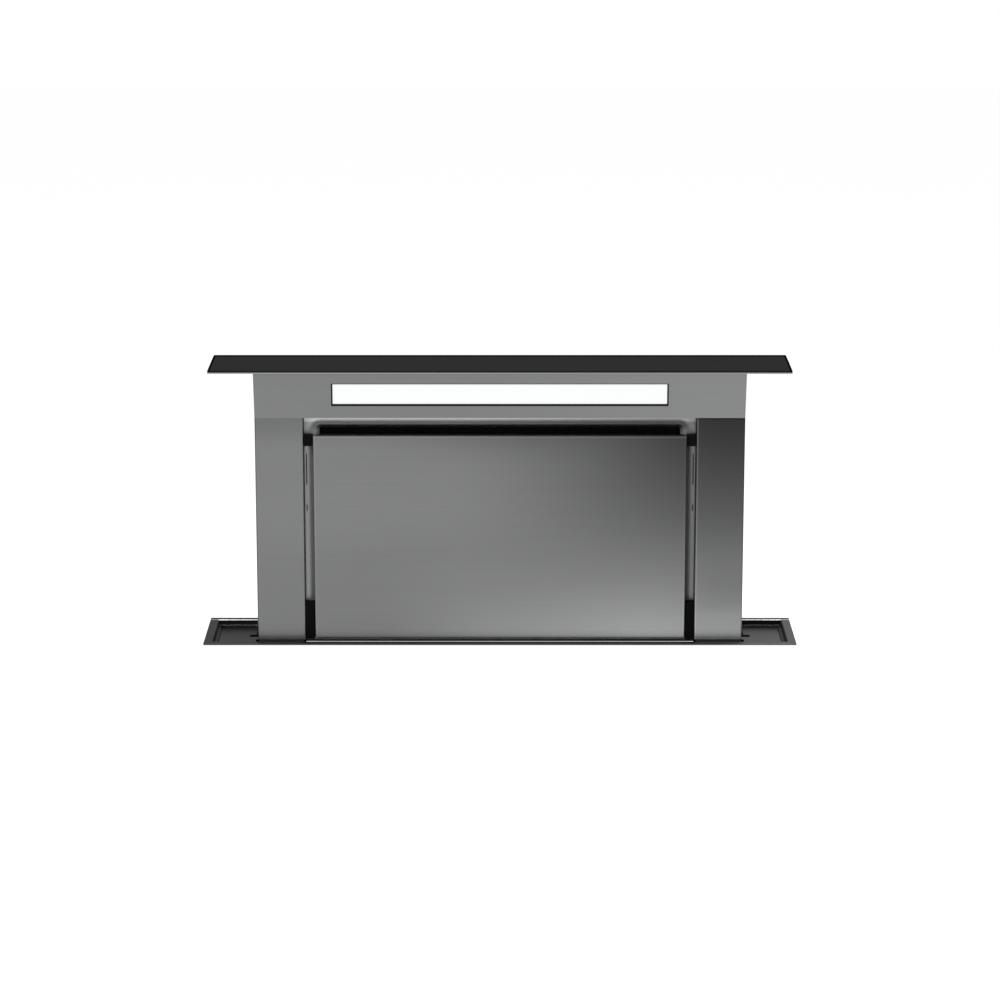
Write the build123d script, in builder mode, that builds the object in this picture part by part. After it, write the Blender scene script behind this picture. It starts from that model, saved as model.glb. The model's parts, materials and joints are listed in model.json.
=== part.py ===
from build123d import *
import math
import os

# A pop-up downdraft vent, raised. Millimetres, +Z up, front towards -Y.
# The origin is the middle of the flange's underside, on the worktop's top face.

os.makedirs("parts", exist_ok=True)

# ---------------------------------------------------------------- driving sizes
sheet = 1.2              # stainless and galvanised sheet
run = 0.3                # gap between pieces that move past each other
seat = 0.1               # gap between pieces that are screwed or glued together
bend = 2.0               # outside radius of a folded corner

# worktop tray
flange_w = 880.0
flange_d = 146.0
rim_w = 12.0
rim_h = 2.0
ledge_drop = 7.5
ledge_w = 6.0
floor_drop = 3.0
skirt_h = 20.3
slot_side_gap = 2.5      # beside the tower at the back of the slot
slot_front_gap = 5.5     # beside the tower at the front of the slot
slot_back_gap = 3.0
slot_step_y = -12.0      # where the slot narrows
notch_w = 16.0
notch_y = 8.0
notch_d = 12.0
seal_t = 0.7
wiper_h = 2.0
wiper_lip = 1.5

# lid
lid_top = 412.0          # height of the lid above the worktop when raised
lid_gap = 1.0
glass_t = 3.0
lid_edge_h = 1.8
lid_skin = 0.8

# tower
tower_side = 80.0        # flange beyond the tower, each side
tower_margin = 24.0      # flange beyond the tower, front and back
pillar_w = 71.0
pillar_z = 2.0
pillar_return = 21.0
back_return = 16.0
head_h = 73.0            # head and lid together
head_lean = 5.0
head_flare = 1.0
back_panel_z = -60.0
leg_t = 2.0
leg_z = -142.0
apron_h = 59.0

# light
window_w = 494.0
window_h = 34.0
window_rise = 35.0       # middle of the light above the head's lower edge
bezel_rim = 1.9
bezel_depth = 9.0
lens_t = 3.0
lens_set_back = 5.0
heat_sink_depth = 15.0
led_count = 24
driver_l = 150.0
driver_gap = 20.0        # inside the tower's side

# intake, panel and filters
roll_r = 20.0            # radius of the rolled lip
intake_set_back = 17.0   # behind the pillars' front face
intake_side_gap = 0.8
intake_lip = 2.0
intake_flat = 2.0        # flat steel beside the roll, at the sides
intake_sill_z = -3.0
intake_low_z = 32.0
intake_corner = 3.0
panel_gap = 14.5         # beside the panel
panel_z = 4.0
mouth_h = 26.0           # between the panel's top and the head
panel_depth = 12.0
panel_proud = 3.0
panel_edge_r = 2.5
pivot_z = 15.5
pivot_inset = 10.0       # pivot axis behind the panel's front face
pivot_r = 3.0
pivot_play = 0.05
catch_h = 16.0
catch_drop = 9.0         # middle of the catches below the panel's top
pivot_block_h = 56.0
filter_t = 10.0
filter_z = 20.0
filter_top_gap = 15.0    # below the head
filter_side = 7.7        # inside the intake frame's edge
filter_gap = 3.0
filter_rim = 9.0
latch_travel = 4.0

# lift
module = 2.0
pinion_teeth = 16
pressure_angle = 20.0
rack_addendum = 1.8
rack_root = 2.5
backlash = 0.12
rack_w = 20.0
rack_h = 10.5
rack_top = -45.0
rack_spare = 37.0        # rack beyond the pinion when lowered
pinion_w = 16.5
shaft_r = 5.0
shaft_play = 0.05
shaft_y = 9.0
shaft_z = -88.0
bush_r = 8.0
bush_flange_r = 11.0
bush_flange_t = 2.0
outrigger_t = 3.0
outrigger_reach = 21.2
outrigger_y = 36.0
outrigger_top = -34.0
rail_y = -28.0
rail_top = -32.0
rail_spare = 3.0         # rail beyond the sliders when lowered
rail_base_w = 30.0
rail_base_t = 3.0
rail_stem_w = 8.0
rail_stem_h = 8.3
rail_head_w = 20.0
rail_head_t = 5.0
slider_w = 28.0
slider_h = 26.0
slider_top = -36.0
slider_low = -140.0
beam_h = 36.0
beam_t = 2.0
beam_front_y = 22.0
gearbox_x = -237.0
gearbox_w = 50.0
motor_l = 77.0
motor_r = 18.0
buffer_r = 7.0

# casing
case_spare = 13.0        # under the tower when lowered
case_return = 13.5
case_pan_edge = 11.0
screw_r = 2.0
screw_head_r = 4.0
screw_head_h = 1.8
case_screw_rows = 5

# blower
fan_rise = 180.0         # fan's axis above the casing's bottom
scroll_depth = 110.0
scroll_step = 22.0       # growth of the scroll's radius per quarter turn
scroll_r = 108.0         # radius of its first arc
tongue_angle = -35.0
scroll_lip = 6.0
outlet_x = 170.0
fan_r = 86.0
fan_eye_r = 70.0
fan_blades = 30
fan_blade_t = 1.2
fan_front_gap = 22.5     # from the casing's front to the impeller
fan_w = 66.0
fan_disc_t = 2.0
inlet_r = 72.0
inlet_throat_r = 64.0
spindle_r = 4.0
fan_motor_r = 44.0
fan_motor_l = 60.0
adaptor_l = 45.0
collar_r = 74.5
collar_l = 50.0
collar_forward = 24.5    # collar's axis ahead of the scroll's middle
collar_bead = 3.5
flap_gap = 0.8
flap_t = 1.2
knuckle_r = 3.4
rod_r = 2.0

# control box and fixing brackets
box_edge = 39.5          # from the casing's side
box_z = -150.0
box_w = 170.0
box_h = 130.0
box_d = 45.0
box_wall = 2.5
bracket_clear = 15.0     # beyond the duct collar
bracket_w = 40.0
bracket_t = 2.5
bracket_h = 60.0
bracket_foot = 48.0
bracket_hole_r = 3.25
bracket_hole_pitch = 16.0
bracket_hole_out = 24.5  # middle of the holes ahead of the casing

# ---------------------------------------------------------------- worked out
rim_x, rim_y = flange_w / 2 - rim_w, flange_d / 2 - rim_w
ledge_x, ledge_y = rim_x - ledge_w, rim_y - ledge_w
ledge_z = rim_h - ledge_drop
ledge_under = ledge_z - sheet
floor_z = ledge_z - floor_drop
floor_under = floor_z - sheet
skirt_x, skirt_y = ledge_x + sheet, ledge_y + sheet
skirt_z = floor_under - skirt_h

lid_x, lid_y = rim_x - lid_gap, rim_y - lid_gap
lid_under = lid_top - glass_t - lid_edge_h
head_top = lid_top - glass_t - lid_skin
head_z = lid_top - head_h
window_z = head_z + window_rise
travel = lid_top - rim_h

tower_x, tower_y = flange_w / 2 - tower_side, flange_d / 2 - tower_margin
back_y = tower_y - sheet
pillar_in_x = tower_x - pillar_w
leg_out_x = tower_x - sheet
leg_in_x = pillar_in_x + 2 * sheet
leg_front_y = -tower_y + sheet
leg_back_y = back_y - sheet

intake_y = -tower_y + intake_set_back
intake_back_y = intake_y + roll_r + intake_lip
intake_x = pillar_in_x - intake_side_gap
panel_x = pillar_in_x - panel_gap
panel_h = head_z - mouth_h - panel_z
catch_z = panel_z + panel_h - catch_drop
panel_y = -tower_y - panel_proud
panel_back_y = panel_y + panel_depth
pivot_y = panel_y + pivot_inset
filter_y = intake_back_y + 2.0
filter_w = intake_x - filter_gap / 2 - filter_side
filter_h = head_z - filter_top_gap - filter_z

case_in_x, case_in_y = skirt_x + seat, skirt_y + seat
case_x, case_y = case_in_x + sheet, case_in_y + sheet
case_bottom = leg_z - travel - case_spare
rack_bottom = shaft_z - travel - rack_spare
rail_bottom = slider_low - travel - rail_spare
pitch_r = module * pinion_teeth / 2
tooth_pitch = math.pi * module
rack_line_y = shaft_y + pitch_r
fan_front_y = -case_y - fan_front_gap
scroll_front_y = -case_y - scroll_depth
fan_z = case_bottom + fan_rise
collar_y = -case_y - scroll_depth / 2 - collar_forward
box_x = -case_x + box_edge + box_w / 2
bracket_x = outlet_x + adaptor_l + collar_l + bracket_clear + bracket_w / 2
bracket_hole_y = -case_y - bracket_hole_out


# ---------------------------------------------------------------- shared forms
def save(piece, node):
    """Label a finished piece and write it as one node."""
    piece.part.label = node
    export_step(piece.part, f"parts/{node}.step")


def mirrored(piece):
    """The same piece on the other side of the middle plane."""
    with BuildPart() as other:
        mirror(piece.part, about=Plane.YZ)
    return other


def save_sides(right, name):
    """Write a handed piece and its mirror image as two nodes."""
    save(right, f"{name}_right")
    save(mirrored(right), f"{name}_left")


def save_both(right, node):
    """Write a piece and its mirror image as one node of two solids."""
    with BuildPart() as both:
        add(right.part)
        mirror(about=Plane.YZ)
    save(both, node)


def slab(half_x, half_y, z0, z1, corner=0.0, mode=Mode.ADD):
    """A plate centred on the origin, from one height to another."""
    with BuildSketch(Plane.XY.offset(z0)) as shape:
        if corner > 0:
            RectangleRounded(2 * half_x, 2 * half_y, corner)
        else:
            Rectangle(2 * half_x, 2 * half_y)
    extrude(shape.sketch, amount=z1 - z0, mode=mode)


def block(x, y, z, mode=Mode.ADD):
    """A rectangular block between two values along each axis."""
    with BuildSketch(Plane.XY.offset(z[0])) as shape:
        with Locations((sum(x) / 2, sum(y) / 2)):
            Rectangle(x[1] - x[0], y[1] - y[0])
    extrude(shape.sketch, amount=z[1] - z[0], mode=mode)


def folded(plane, points, length, thickness=sheet, side=Side.LEFT, radius=bend):
    """Sheet folded along an outline of its outer face, then drawn out to a length."""
    with BuildSketch(plane) as shape:
        with BuildLine():
            FilletPolyline(*points, radius=radius)
            offset(amount=thickness, side=side)
        make_face()
    extrude(shape.sketch, amount=length)


def rod(plane, radius, length, mode=Mode.ADD):
    """A round bar from a plane, along its normal."""
    with BuildSketch(plane) as shape:
        Circle(radius)
    extrude(shape.sketch, amount=length, mode=mode)


def across(x, y, z):
    """A plane whose normal runs along +X."""
    return Plane(origin=(x, y, z), x_dir=(0, 1, 0), z_dir=(1, 0, 0))


def forward(x, y, z):
    """A plane whose normal runs along -Y, towards the front."""
    return Plane(origin=(x, y, z), x_dir=(1, 0, 0), z_dir=(0, -1, 0))


def backward(x, y, z):
    """A plane whose normal runs along +Y, towards the back."""
    return Plane(origin=(x, y, z), x_dir=(-1, 0, 0), z_dir=(0, 1, 0))


# ---------------------------------------------------------------- worktop tray
with BuildPart() as flange_tray:
    slab(flange_w / 2, flange_d / 2, 0, rim_h, corner=bend)
    slab(rim_x + sheet, rim_y + sheet, ledge_under, 0, corner=bend + sheet)
    slab(skirt_x, skirt_y, skirt_z, ledge_under, corner=bend)
    slab(rim_x, rim_y, ledge_z, rim_h, corner=bend, mode=Mode.SUBTRACT)
    slab(ledge_x, ledge_y, floor_z, ledge_z, corner=bend, mode=Mode.SUBTRACT)
    slab(ledge_x, ledge_y, skirt_z, floor_under, mode=Mode.SUBTRACT)
    rear_x = tower_x + slot_side_gap
    front_x = tower_x + slot_front_gap
    rear_y = tower_y + slot_back_gap
    block((-rear_x, rear_x), (slot_step_y, rear_y), (floor_under, floor_z), Mode.SUBTRACT)
    block((-front_x, front_x), (-ledge_y, slot_step_y), (floor_under, floor_z), Mode.SUBTRACT)
    notch = tower_x + notch_w
    notch_span = (notch_y - notch_d / 2, notch_y + notch_d / 2)
    block((-notch, notch), notch_span, (floor_under, floor_z), Mode.SUBTRACT)
    rim_top = flange_tray.faces().sort_by(Axis.Z)[-1]
    chamfer(rim_top.outer_wire().edges(), 0.5)
    chamfer(rim_top.inner_wires()[0].edges(), 0.8)
save(flange_tray, "flange_tray")

with BuildPart() as tray_seal:
    slab(rim_x, rim_y, ledge_z, rim_h - 0.8, corner=bend)
    slab(rim_x - seal_t, rim_y - seal_t, ledge_z, rim_h - 0.8, corner=bend - seal_t, mode=Mode.SUBTRACT)
save(tray_seal, "tray_seal")

with BuildPart() as slot_wiper:
    wiper_front = notch_span[1] + 1.0
    wiper_z = (floor_z, floor_z + wiper_h)
    outer = tower_x + slot_side_gap + 4.0
    inner = tower_x + wiper_lip
    block((-outer, outer), (wiper_front, ledge_y - 0.5), wiper_z)
    block((-inner, inner), (wiper_front, tower_y + wiper_lip), wiper_z, Mode.SUBTRACT)
save(slot_wiper, "slot_wiper")

# ---------------------------------------------------------------- lid
with BuildPart() as lid_glass:
    slab(lid_x, lid_y, lid_top - glass_t, lid_top, corner=bend)
    chamfer(lid_glass.faces().sort_by(Axis.Z)[-1].edges(), 1.0)
save(lid_glass, "lid_glass")

with BuildPart() as lid_frame:
    slab(lid_x, lid_y, lid_under, lid_top - glass_t, corner=bend)
    slab(lid_x - lid_skin, lid_y - lid_skin, lid_under, head_top, corner=bend - lid_skin, mode=Mode.SUBTRACT)
save(lid_frame, "lid_frame")

# ---------------------------------------------------------------- head and light
def head_form(inset, z0, back):
    """The head's tapered body between its lower edge and the lid, shrunk by an inset."""
    ends = []
    for z in (z0, head_top):
        lift = (z - head_z) / (head_top - head_z)
        half_x = tower_x + head_flare * lift - inset
        front = -tower_y - head_lean * lift + inset
        with BuildSketch(Plane.XY.offset(z)) as end:
            with Locations((0, (front + back) / 2)):
                Rectangle(2 * half_x, back - front)
        ends.append(end.sketch)
    loft(ends)


window_lift = (window_z - head_z) / (head_top - head_z)
head_face = Plane(
    origin=(0, -tower_y - head_lean * window_lift, window_z),
    x_dir=(1, 0, 0),
    z_dir=(0, head_z - head_top, -head_lean),
)

with BuildPart() as head_space:
    head_form(sheet, head_z + sheet, tower_y + bend)

with BuildPart() as head_housing:
    head_form(0.0, head_z, back_y)
    upright = head_housing.edges().filter_by(lambda edge: abs((edge @ 1 - edge @ 0).Z) > 10)
    fillet(upright.sort_by(Axis.Y)[:2], bend)
    add(head_space.part, mode=Mode.SUBTRACT)
    with BuildSketch(head_face):
        Rectangle(window_w, window_h)
    extrude(amount=-3 * sheet, mode=Mode.SUBTRACT)
save(head_housing, "head_housing")

bezel_w, bezel_h = window_w - 2 * seat, window_h - 2 * seat
lens_w, lens_h = bezel_w - 2 * bezel_rim, bezel_h - 1.5 * bezel_rim
lens_rise = bezel_rim / 4
with BuildPart() as light_bezel:
    with BuildSketch(head_face.offset(-bezel_depth)):
        Rectangle(bezel_w, bezel_h)
    extrude(amount=bezel_depth - run)
    with BuildSketch(head_face.offset(-sheet - seat)):
        Rectangle(bezel_w + 10, bezel_h + 10)
    extrude(amount=-sheet)
    with BuildSketch(head_face):
        with Locations((0, lens_rise)):
            Rectangle(lens_w, lens_h)
    extrude(amount=-bezel_depth, mode=Mode.SUBTRACT)
save(light_bezel, "light_bezel")

with BuildPart() as light_lens:
    with BuildSketch(head_face.offset(-lens_set_back)):
        with Locations((0, lens_rise)):
            Rectangle(lens_w - 2 * seat, lens_h - 2 * seat)
    extrude(amount=-lens_t)
save(light_lens, "light_lens")

sink_back = bezel_depth + heat_sink_depth
sink_wall = 2.0
with BuildPart() as heat_sink:
    with BuildSketch(head_face.offset(-bezel_depth - seat)):
        Rectangle(bezel_w - 8, bezel_h)
    extrude(amount=-heat_sink_depth)
    with BuildSketch(head_face.offset(-bezel_depth - seat)):
        Rectangle(bezel_w - 8, bezel_h - 2 * sink_wall)
    extrude(amount=-(heat_sink_depth - sink_wall), mode=Mode.SUBTRACT)
save(heat_sink, "heat_sink")

board_face = head_face.offset(-sink_back - seat + sink_wall)
board_t = 1.6
with BuildPart() as led_board:
    with BuildSketch(board_face.offset(seat)):
        Rectangle(bezel_w - 24, 12)
    extrude(amount=board_t)
    with BuildSketch(board_face.offset(seat + board_t)):
        with GridLocations((bezel_w - 50) / (led_count - 1), 0, led_count, 1):
            Rectangle(3.5, 3.5)
    extrude(amount=0.8)
save(led_board, "led_board")

with BuildPart() as led_driver:
    driver_end = tower_x - driver_gap
    block((driver_end - driver_l, driver_end), (4, back_y - 4), (head_z + sheet, head_z + sheet + 26))
    fillet(led_driver.edges().filter_by(Axis.X), 2)
save(led_driver, "led_driver")

# ---------------------------------------------------------------- tower body
screw_x = tower_x - back_return / 2
screw_zs = [pillar_z + 20 + i * (head_z - pillar_z - 40) / 3 for i in range(4)]
tower_screw_r = 1.6


def tower_screw_holes():
    """Clearance holes for the back panel's screws, on the right side."""
    for z in screw_zs:
        rod(backward(screw_x, leg_back_y - 3 * leg_t, z), tower_screw_r + seat / 2, 8 * leg_t, Mode.SUBTRACT)


with BuildPart() as pillar:
    outline = (
        (pillar_in_x, -tower_y + pillar_return),
        (pillar_in_x, -tower_y),
        (tower_x, -tower_y),
        (tower_x, back_y),
        (tower_x - back_return, back_y),
    )
    folded(Plane.XY.offset(pillar_z), outline, head_z - pillar_z)
    tower_screw_holes()
save_sides(pillar, "pillar")

with BuildPart() as leg:
    outline = (
        (leg_in_x, leg_front_y),
        (leg_out_x, leg_front_y),
        (leg_out_x, leg_back_y),
        (tower_x - 2.8 * back_return, leg_back_y),
    )
    folded(Plane.XY.offset(leg_z), outline, head_z - leg_z, thickness=leg_t, radius=leg_t + 1)
    rod(across(leg_out_x - 2 * leg_t, shaft_y, shaft_z), bush_r + seat / 4, 4 * leg_t, Mode.SUBTRACT)
    tower_screw_holes()
save_both(leg, "inner_legs")

with BuildPart() as back_panel:
    with BuildSketch(backward(0, back_y, 0)):
        with Locations((0, (back_panel_z + head_top) / 2)):
            RectangleRounded(2 * (tower_x - 0.2), head_top - back_panel_z, bend)
    extrude(amount=sheet)
    with BuildSketch(backward(0, back_y, 0)):
        for z in screw_zs:
            with Locations((screw_x, z), (-screw_x, z)):
                Circle(tower_screw_r + seat / 2)
    extrude(amount=sheet, mode=Mode.SUBTRACT)
save(back_panel, "back_panel")

with BuildPart() as tower_screws:
    for side in (-1, 1):
        for z in screw_zs:
            rod(backward(side * screw_x, leg_back_y - leg_t - 1, z), tower_screw_r, 2 * sheet + leg_t + 1)
            rod(backward(side * screw_x, tower_y, z), 3.4, 1.0)
save(tower_screws, "tower_screws")

with BuildPart() as apron:
    reach = leg_in_x - intake_side_gap
    block((-reach, reach), (leg_front_y, leg_front_y + leg_t), (intake_sill_z - 0.2 - apron_h, intake_sill_z - 0.2))
save(apron, "apron")


# ---------------------------------------------------------------- intake frame
def intake_form(inset, y0):
    """A frame round the intake, whose lip rolls inwards: full size, or shrunk to hollow it."""
    spare = 2 * roll_r
    hole_x = intake_x - intake_flat - roll_r + inset
    hole_top = head_z - roll_r + inset
    hole_low = intake_low_z - inset
    with BuildSketch(backward(0, y0, 0)) as plate:
        with Locations((0, (hole_top + hole_low) / 2)):
            Rectangle(2 * (hole_x + spare), hole_top - hole_low + 2 * spare)
            RectangleRounded(2 * hole_x, hole_top - hole_low, intake_corner, mode=Mode.SUBTRACT)
    rolled = extrude(plate.sketch, amount=intake_back_y - y0)
    fillet(rolled.faces().sort_by(Axis.Y)[0].inner_wires()[0].edges(), roll_r - inset)
    top, low = head_z - inset, intake_sill_z + inset
    with BuildSketch(backward(0, y0, 0)) as outline:
        with Locations((0, (top + low) / 2)):
            Rectangle(2 * (intake_x - inset), top - low)
    extrude(outline.sketch, amount=intake_back_y - y0, mode=Mode.INTERSECT)


with BuildPart() as intake_core:
    intake_form(sheet, intake_y + sheet)

with BuildPart() as intake_frame:
    intake_form(0.0, intake_y)
    add(intake_core.part, mode=Mode.SUBTRACT)
    sill_front = -tower_y - 2.0
    block((-intake_x, intake_x), (sill_front, intake_y + sheet), (intake_sill_z, intake_sill_z + sheet))
    for side in (-1, 1):
        slot_mid = side * (intake_x - 3.0)
        for low, high in ((235, 282), (195, 205)):
            block((slot_mid - 0.8, slot_mid + 0.8), (intake_y - 1, intake_y + 4), (low, high), Mode.SUBTRACT)
save(intake_frame, "intake_frame")

with BuildPart() as filter_rails:
    rail_half = filter_w + filter_gap
    deep = filter_t + 4.0
    low_z = filter_z - 2.0
    top_z = head_z - 2.0
    low_line = ((0, intake_low_z), (0, low_z), (deep, low_z), (deep, low_z + 8))
    top_line = ((0, head_z - roll_r), (0, top_z), (deep, top_z), (deep, head_z - roll_r))
    start = across(-rail_half, intake_back_y, 0)
    folded(start, low_line, 2 * rail_half, side=Side.LEFT)
    folded(start, top_line, 2 * rail_half, side=Side.RIGHT)
save(filter_rails, "filter_rails")

with BuildPart() as grease_filter:
    filter_x = (filter_gap / 2, filter_gap / 2 + filter_w)
    block(filter_x, (filter_y, filter_y + filter_t), (filter_z, filter_z + filter_h))
    fillet(grease_filter.edges().filter_by(Axis.Y), 4)
    mesh_x = (filter_x[0] + filter_rim, filter_x[1] - filter_rim)
    mesh_z = (filter_z + filter_rim, filter_z + filter_h - filter_rim)
    block(mesh_x, (filter_y, filter_y + 1.5), mesh_z, Mode.SUBTRACT)
    block(mesh_x, (filter_y + filter_t - 1.5, filter_y + filter_t), mesh_z, Mode.SUBTRACT)
    for i in (1, 2):
        bar_z = filter_z + i * filter_h / 3
        block(mesh_x, (filter_y + filter_t - 1.5, filter_y + filter_t), (bar_z - 3, bar_z + 3))
save_sides(grease_filter, "filter")

handle_x = filter_gap / 2 + filter_w / 2
handle_z = filter_z + 0.86 * filter_h
handle_back = filter_y + 1.5
with BuildPart() as filter_handle:
    with BuildSketch(forward(handle_x, handle_back, handle_z)):
        SlotOverall(92, 30)
    extrude(amount=8.5)
    fillet(filter_handle.faces().sort_by(Axis.Y)[0].edges(), 2)
    with BuildSketch(forward(handle_x, handle_back - 2.5, handle_z)):
        Rectangle(30, 10)
    extrude(amount=8, mode=Mode.SUBTRACT)
save_both(filter_handle, "filter_handles")

with BuildPart() as filter_latch:
    with BuildSketch(forward(handle_x - latch_travel / 2, handle_back - 2.5 - run, handle_z)):
        Rectangle(30 - latch_travel - 2 * run, 10 - 2 * run)
    extrude(amount=7.5)
    for i in range(4):
        groove_x = handle_x - 9 + i * 4
        block((groove_x, groove_x + 1.5), (handle_back - 11, handle_back - 9.5), (handle_z - 9, handle_z + 9), Mode.SUBTRACT)
save_sides(filter_latch, "filter_latch")

# ---------------------------------------------------------------- front panel
with BuildPart() as front_panel:
    with BuildSketch(forward(0, panel_back_y, 0)):
        with Locations((0, panel_z + panel_h / 2)):
            Rectangle(2 * panel_x, panel_h)
    extrude(amount=panel_depth)
    fillet(front_panel.faces().sort_by(Axis.Y)[0].edges(), panel_edge_r)
    with BuildSketch(forward(0, panel_back_y, 0)):
        with Locations((0, panel_z + panel_h / 2)):
            Rectangle(2 * (panel_x - sheet), panel_h - 2 * sheet)
    extrude(amount=panel_depth - sheet, mode=Mode.SUBTRACT)
    rod(across(-panel_x - 1, pivot_y, pivot_z), pivot_r + pivot_play, 2 * panel_x + 2, Mode.SUBTRACT)
    for side in (-1, 1):
        rib_x = side * panel_x / 3
        block((rib_x - 12, rib_x + 12), (panel_back_y - 2, panel_back_y), (panel_z + sheet, panel_z + panel_h - sheet))
save(front_panel, "front_panel")

side_gap_in = panel_x + 1.3
side_gap_out = pillar_in_x - 1.0
with BuildPart() as panel_pin:
    rod(across(panel_x - sheet - 3, pivot_y, pivot_z), 5.0, 3.0)
    rod(across(panel_x - sheet, pivot_y, pivot_z), pivot_r, side_gap_out - 2.5 - panel_x + sheet)
save_both(panel_pin, "panel_pins")

with BuildPart() as pivot_block:
    block((side_gap_in, side_gap_out), (-tower_y + 1.5, intake_y - seat), (pillar_z, pillar_z + pivot_block_h))
    fillet(pivot_block.edges().filter_by(Axis.X).group_by(Axis.Y)[0], 3)
    rod(across(side_gap_in - 1, pivot_y, pivot_z), pivot_r + pivot_play, side_gap_out - 2.0 - side_gap_in + 1, Mode.SUBTRACT)
save_both(pivot_block, "pivot_blocks")

with BuildPart() as catch:
    catch_front = -tower_y + 3.0
    block((panel_x + 0.5, side_gap_out), (catch_front, intake_y - seat), (catch_z - catch_h / 2, catch_z + catch_h / 2))
    for i in range(5):
        groove_z = catch_z - 7.2 + i * 3.6
        block((panel_x, side_gap_out + 1), (catch_front - 1, catch_front + 1), (groove_z - 0.6, groove_z + 0.6), Mode.SUBTRACT)
save_both(catch, "panel_catches")

# ---------------------------------------------------------------- lift
with BuildPart() as cross_beam:
    reach = leg_out_x - leg_t - 1.2
    beam_top = shaft_z + beam_h / 2
    beam_back = leg_back_y - leg_t
    outline = (
        (beam_back, beam_top),
        (beam_front_y, beam_top),
        (beam_front_y, beam_top - beam_h),
        (beam_back, beam_top - beam_h),
    )
    folded(across(-reach, 0, 0), outline, 2 * reach, thickness=beam_t, radius=beam_t + 1)
save(cross_beam, "cross_beam")

with BuildPart() as outrigger:
    foot = leg_out_x + outrigger_reach
    outline = ((leg_out_x, rail_y - slider_w / 2), (leg_out_x, outrigger_y), (foot, outrigger_y))
    folded(Plane.XY.offset(leg_z), outline, outrigger_top - leg_z, outrigger_t, Side.RIGHT, outrigger_t + 1)
    rod(across(leg_out_x - 1, shaft_y, shaft_z), bush_r + seat / 4, outrigger_t + 2, Mode.SUBTRACT)
save_both(outrigger, "outriggers")

plate_x = leg_out_x + outrigger_t
rail_back_x = case_in_x
head_out_x = rail_back_x - rail_base_t - rail_stem_h
with BuildPart() as rail:
    length = rail_top - rail_bottom
    block((rail_back_x - rail_base_t, rail_back_x), (rail_y - rail_base_w / 2, rail_y + rail_base_w / 2), (rail_bottom, rail_top))
    block((head_out_x, rail_back_x - rail_base_t), (rail_y - rail_stem_w / 2, rail_y + rail_stem_w / 2), (rail_bottom, rail_top))
    block((head_out_x - rail_head_t, head_out_x), (rail_y - rail_head_w / 2, rail_y + rail_head_w / 2), (rail_bottom, rail_top))
save_both(rail, "guide_rails")

with BuildPart() as slider:
    for low in (slider_low, slider_top - slider_h):
        span = (low, low + slider_h)
        block((plate_x, rail_back_x - rail_base_t - 2), (rail_y - slider_w / 2, rail_y + slider_w / 2), span)
        head_half = rail_head_w / 2 + run
        stem_half = rail_stem_w / 2 + run
        block((head_out_x - rail_head_t - run, head_out_x + run), (rail_y - head_half, rail_y + head_half), span, Mode.SUBTRACT)
        block((head_out_x, rail_back_x), (rail_y - stem_half, rail_y + stem_half), span, Mode.SUBTRACT)
        pocket = (plate_x + 6, head_out_x - rail_head_t - 8)
        block(pocket, (rail_y - 8, rail_y + 8), span, Mode.SUBTRACT)
save_both(slider, "slider_blocks")

tooth_slope = math.tan(math.radians(pressure_angle))
with BuildPart() as rack:
    half_tooth = tooth_pitch / 4
    tip_half = half_tooth - rack_addendum * tooth_slope
    root_half = half_tooth + rack_root * tooth_slope
    tip_y, root_y = rack_line_y - rack_addendum, rack_line_y + rack_root
    first = math.floor((shaft_z - rack_bottom) / tooth_pitch)
    last = math.floor((rack_top - shaft_z) / tooth_pitch)
    outline = [(root_y + rack_h, rack_bottom), (root_y, rack_bottom)]
    for i in range(1 - first, last):
        z = shaft_z + i * tooth_pitch
        outline += [(root_y, z - root_half), (tip_y, z - tip_half), (tip_y, z + tip_half), (root_y, z + root_half)]
    outline += [(root_y, rack_top), (root_y + rack_h, rack_top)]
    with BuildSketch(across(case_in_x - rack_w, 0, 0)):
        with BuildLine():
            Polyline(*outline, close=True)
        make_face()
    extrude(amount=rack_w)
save_both(rack, "lift_racks")


def flank_point(radius, side, turn):
    """A point of a pinion's involute flank, at a radius, on one side of a tooth at an angle."""
    base = pitch_r * math.cos(math.radians(pressure_angle))
    involute = lambda r: math.tan(math.acos(base / r)) - math.acos(base / r)
    half = math.pi / (2 * pinion_teeth) - backlash / pitch_r / 2
    lean = half + involute(pitch_r) - involute(max(radius, base))
    return (radius * math.cos(turn + side * lean), radius * math.sin(turn + side * lean))


def pinion_outline():
    """A pinion's closed outline: root, involute flank, tip and flank again, for each tooth."""
    base = pitch_r * math.cos(math.radians(pressure_angle)) + 0.01
    root, tip = pitch_r - 1.25 * module, pitch_r + module
    middle = (base + tip) / 2
    step = 2 * math.pi / pinion_teeth
    for i in range(pinion_teeth):
        turn = (i + 0.5) * step
        rise = [flank_point(r, -1, turn) for r in (root, base, middle, tip)]
        fall = [flank_point(r, 1, turn) for r in (tip, middle, base, root)]
        Line(rise[0], rise[1])
        ThreePointArc(rise[1], rise[2], rise[3])
        Line(rise[3], fall[0])
        ThreePointArc(fall[0], fall[1], fall[2])
        Line(fall[2], fall[3])
        Line(fall[3], flank_point(root, -1, turn + step))


with BuildPart() as pinion:
    pinion_x = case_in_x - 2.3 - pinion_w
    with BuildSketch(across(pinion_x, shaft_y, shaft_z)):
        with BuildLine():
            pinion_outline()
        make_face()
    extrude(amount=pinion_w)
    rod(across(pinion_x - 6, shaft_y, shaft_z), 11, 6)
    rod(across(pinion_x - 7, shaft_y, shaft_z), shaft_r + 0.02, pinion_w + 8, Mode.SUBTRACT)
save_both(pinion, "pinions")

with BuildPart() as drive_shaft:
    shaft_end = pinion_x + pinion_w
    rod(across(-shaft_end, shaft_y, shaft_z), shaft_r, 2 * shaft_end)
    chamfer(drive_shaft.edges().filter_by(GeomType.CIRCLE), 0.5)
save(drive_shaft, "drive_shaft")

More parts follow.
